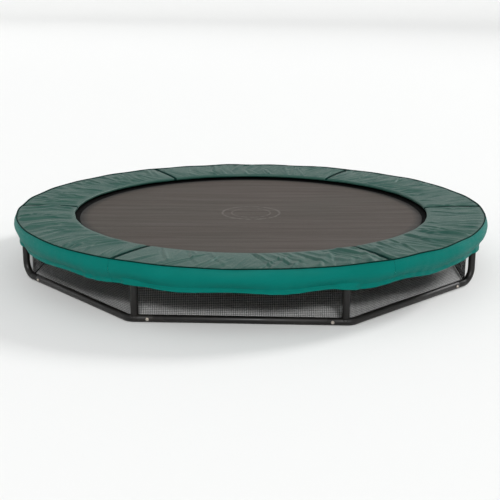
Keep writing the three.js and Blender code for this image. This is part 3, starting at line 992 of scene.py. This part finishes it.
def make_springs():
    wire = spring_path()
    inner_z, outer_z = MAT_Z, RING_Z - 0.002
    for index in range(SPRING_COUNT):
        angle = spring_angle(index)
        inner = around(angle, SPRING_INNER_R, inner_z)
        outer = around(angle, SPRING_OUTER_R, outer_z)
        ahead = unit(outer - inner)
        side = around(angle + 90, 1.0, 0.0)
        up = np.cross(ahead, side)
        points = inner + wire[:, :1] * ahead + wire[:, 1:2] * up + wire[:, 2:] * side
        cad_index, rest = divmod(index, CAD_SPRING_STEP)
        replaced = [] if rest else [f"spring_{cad_index + 1}"]
        spring = piece(f"coil_spring_{index + 1}", [rod(points, SPRING_WIRE_R, 5)], SPRING_STEEL,
                       None, replaced)
        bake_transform(spring)


make_springs()


# ---- steel frame

def coated(name, parts):
    """The powder-coated piece that stands for a steel part of the frame."""
    piece(f"{name}_coated", parts, BLACK_COAT, "frame", [name], crease=50)


def foot(index):
    return around(leg_angle(index), RING_R, TUBE_R)


def weld_bead(seed, line, radius=0.0022):
    """A weld bead round a joint: a closed line of small overlapping ripples."""
    rng = np.random.default_rng(seed)
    swell = 1 + 0.25 * np.sin(np.arange(len(line)) * 2.1) + rng.uniform(-0.12, 0.12, len(line))
    rings, faces = rod(line, radius, 8, closed=True)
    middle = np.asarray(line)[:, None]
    return middle + (rings - middle) * swell[:, None, None], faces


def joint_line(place, along, standing_r, above):
    """Where a standing tube meets a lying one: a closed line, above or below the lying tube."""
    turn = 2 * math.pi * np.arange(72) / 72
    across = np.cross(along, (0, 0, 1))
    reach = standing_r * np.sin(turn)
    lift = np.sqrt(np.maximum(0, TUBE_R ** 2 - reach ** 2)) * (1 if above else -1)
    flat = standing_r * np.cos(turn)[:, None] * along + reach[:, None] * across
    return place + flat + lift[:, None] * np.array([0, 0, 1.0])


def make_ring_tubes():
    for index in range(LEG_COUNT):
        leg = leg_angle(index)
        start = leg - RING_JOINT_LEAD
        angle = np.linspace(start, start + LEG_PITCH, 46)[:-1]
        angle = np.append(angle, start + LEG_PITCH - math.degrees(GAP / RING_R))
        arc = around(angle, RING_R, RING_Z)
        swage_angle = np.linspace(start + LEG_PITCH - 0.5, start + LEG_PITCH, 3)
        swage = around(np.append(swage_angle, start + LEG_PITCH + 2.2), RING_R, RING_Z)
        top = around(leg, RING_R, RING_Z - 0.004)
        bottom = around(leg, RING_R, UPRIGHT_TOP_Z - SOCKET_LENGTH)
        along = around(leg + 90, 1.0, 0.0)
        middle = around(leg, RING_R, RING_Z)
        bead = weld_bead(300 + index, joint_line(middle, along, SOCKET_R, False))
        parts = [tube(arc, TUBE_R), tube(swage, SWAGE_R), tube([top, bottom], SOCKET_R, 32), bead]
        coated(f"ring_tube_{index + 1}", parts)


def make_tee_leg(name, seed, index, inner, outer):
    """An upright welded onto a base tube that turns the corner between its two joints."""
    upright = foot(index)
    bend = towards(upright, foot(inner), -UPRIGHT_TO_BEND)
    straight_joint = towards(upright, foot(inner), UPRIGHT_TO_JOINT)
    elbow_joint = towards(foot(outer), bend, ELBOW_R + SWAGE_LENGTH)
    base = fillet([straight_joint, bend, elbow_joint], [PLAN_BEND_R], 4)
    top = upright + (0, 0, UPRIGHT_TOP_Z - upright[2])
    along = unit(straight_joint - upright)
    bead = weld_bead(seed, joint_line(upright, along, TUBE_R + 0.0004, True), 0.0028)
    welded_end = upright + (0, 0, TUBE_R - TUBE_WALL)
    parts = [tube(base, TUBE_R), tube([welded_end, top], TUBE_R), bead]
    coated(name, parts)


def make_elbow_leg(name, index, neighbour):
    """A tube bent up from the base into a socket, with a reduced end inside the tee leg's tube."""
    elbow = foot(index)
    upright = foot(neighbour)
    inner = neighbour - 1 if index > neighbour else neighbour + 1
    bend = towards(upright, foot(inner), -UPRIGHT_TO_BEND)
    shoulder = towards(elbow, bend, ELBOW_R + SWAGE_LENGTH - GAP)
    tip = towards(elbow, bend, ELBOW_R + 2 * SWAGE_LENGTH)
    top = elbow + (0, 0, UPRIGHT_TOP_Z - elbow[2])
    path = fillet([shoulder, elbow, top], [ELBOW_R], 4)
    swage = [tip, towards(shoulder, elbow, SWAGE_LAP)]
    parts = [tube(path, TUBE_R), tube(swage, SWAGE_R)]
    coated(name, parts)


def make_base_tube(name, left, right):
    start = towards(foot(left), foot(right), UPRIGHT_TO_JOINT + GAP)
    end = towards(foot(right), foot(left), UPRIGHT_TO_JOINT + GAP)
    parts = [tube([start, end], TUBE_R)]
    for near, far in ((start, end), (end, start)):
        swage = [towards(near, far, -SWAGE_LENGTH), towards(near, far, SWAGE_LAP)]
        parts.append(tube(swage, SWAGE_R))
    coated(name, parts)


def make_legs():
    """Each half of the base: two tee legs, an elbow leg beyond each, and the straight tube."""
    for side, first in (("front", 0), ("back", 4)):
        make_tee_leg(f"tee_leg_{side}_left", 400 + first, first, first + 1, first - 1)
        make_tee_leg(f"tee_leg_{side}_right", 401 + first, first + 1, first, first + 2)
        make_elbow_leg(f"elbow_leg_{side}_left", first - 1, first)
        make_elbow_leg(f"elbow_leg_{side}_right", first + 2, first + 1)
        make_base_tube(f"base_tube_{side}", first, first + 1)


make_ring_tubes()
make_legs()


# ---- bolts

def make_bolt(name):
    """A hex bolt, two washers and a nut along the line of the CAD bolt that they stand for."""
    points = np.array([vertex.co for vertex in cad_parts[name].data.vertices])
    centre = points.mean(0)
    axis = np.linalg.svd(points - centre)[2][0]
    if axis @ (centre * (1, 1, 0)) < 0:
        axis = -axis
    reach = (points - centre) @ axis
    middle = centre + axis * (reach.max() + reach.min()) / 2
    half = (reach.max() - reach.min()) / 2
    corner, face = BOLT_HEAD_R, 0.88 * BOLT_HEAD_R
    seat = half - BOLT_HEAD_THICK
    head = [(seat + WASHER_THICK, face), (seat + 0.0016, corner), (half - 0.0012, corner),
            (half - 0.0002, face), (half, face / 2)]
    nut = [(-seat - WASHER_THICK, face), (-seat - 0.0018, corner), (-half + 0.0018, corner),
           (-half + 0.0012, face)]
    washer = [(seat, WASHER_R - 0.0004), (seat + 0.0003, WASHER_R), (seat + 0.0009, WASHER_R),
              (seat + WASHER_THICK, WASHER_R - 0.0004)]
    back_washer = [(-along, radius) for along, radius in washer]
    ridges = np.arange(-half, seat, THREAD_PITCH / 2)
    shank = [(along, BOLT_R - (THREAD_DEPTH if i % 2 else 0)) for i, along in enumerate(ridges)]
    shank[0] = (shank[0][0], BOLT_R * 0.8)
    outlines = ((head, 6), (nut, 6), (washer, 28), (back_washer, 28), (shank, 16))
    parts = [lathe(outline, sides, middle, axis) for outline, sides in outlines]
    piece(f"{name}_zinc", parts, ZINC, "frame", [name], crease=30)


for node_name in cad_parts:
    if "_bolt_" in node_name:
        make_bolt(node_name)


# ---- safety net and straps

def net_corners(middle):
    """The plan of half the net, on its flat panels: the ends at mid panel and four corners."""
    half_pitch = LEG_PITCH / 2
    end_r = NET_CORNER_R * math.cos(math.radians(half_pitch))
    turned = [around(middle + step * half_pitch, NET_CORNER_R, 0) for step in (-3, -1, 1, 3)]
    return [around(middle - 90, end_r, 0), *turned, around(middle + 90, end_r, 0)]


def net_line(middle, height):
    """A level line along half the net's panels."""
    corners = net_corners(middle)
    line = [corners[0]]
    for start, end in zip(corners, corners[1:]):
        count = math.ceil(np.linalg.norm(end - start) / NET_STEP)
        line += [start + (end - start) * i / count for i in range(1, count + 1)]
    return np.array(line) + (0, 0, height)


def net_lattice(middle):
    """Half of the net: upright and level strands, joined where they cross."""
    plan = net_line(middle, 0)
    place = np.concatenate([[0], np.cumsum(np.linalg.norm(np.diff(plan, axis=0), axis=1))])
    half = NET_STRAND / 2
    square = [(-half, 0), (0, -half), (half, 0), (0, half)]
    columns = round(place[-1] / NET_PITCH)
    rows = round((NET_TOP_Z - NET_BOTTOM_Z) / NET_PITCH)
    parts = []
    for along in np.linspace(0, place[-1], columns + 1):
        x, y = (np.interp(along, place, plan[:, i]) for i in range(2))
        parts.append(sweep([(x, y, NET_BOTTOM_Z), (x, y, NET_TOP_Z)], square))
    for height in np.linspace(NET_BOTTOM_Z, NET_TOP_Z, rows + 1):
        parts.append(sweep(net_line(middle, height), square))
    pressed_flat = math.sqrt(2) * NET_STRAND
    threads = (columns + 1) * (NET_TOP_Z - NET_BOTTOM_Z) + (rows + 1) * place[-1]
    return parts, (place[-1], NET_TOP_Z - NET_BOTTOM_Z), threads * pressed_flat


def make_net():
    for half, middle in (("front", LEG_TURN), ("back", LEG_TURN + 180)):
        parts, flat, thread_area = net_lattice(middle)
        net = piece(f"net_{half}_mesh", parts, NET, "frame", [f"net_{half}"])
        cords = [rod(net_line(middle, NET_TOP_Z + 0.001), 0.0030, 8),
                 rod(net_line(middle, NET_BOTTOM_Z - 0.004), 0.0035, 8)]
        hem = piece(f"net_{half}_hem", cords, WEBBING, "frame")


STRAP_WIDTH = 0.025
STRAP_THICK = 0.0012


def make_straps():
    """Elastic straps that hold the pads down: each runs under the ring tube and back up."""
    reach = TUBE_R + STRAP_THICK
    bend = np.radians(np.linspace(180, 360, 13))
    top = PAD_BOTTOM_Z - RING_Z
    strap_r = np.concatenate([[-reach], reach * np.cos(bend), [reach]])
    strap_z = np.concatenate([[top], reach * np.sin(bend), [top]])
    half, thick = STRAP_WIDTH / 2, STRAP_THICK / 2
    outline = [(-half, -thick), (half, -thick), (half, thick), (-half, thick)]
    parts = []
    for index in range(2 * LEG_COUNT):
        angle = leg_angle(index / 2 + 0.25)
        parts.append(sweep(around(angle, RING_R + strap_r, RING_Z + strap_z), outline))
    piece("pad_straps", parts, WEBBING, "frame", crease=50)


make_net()
make_straps()

bpy.context.view_layer.update()
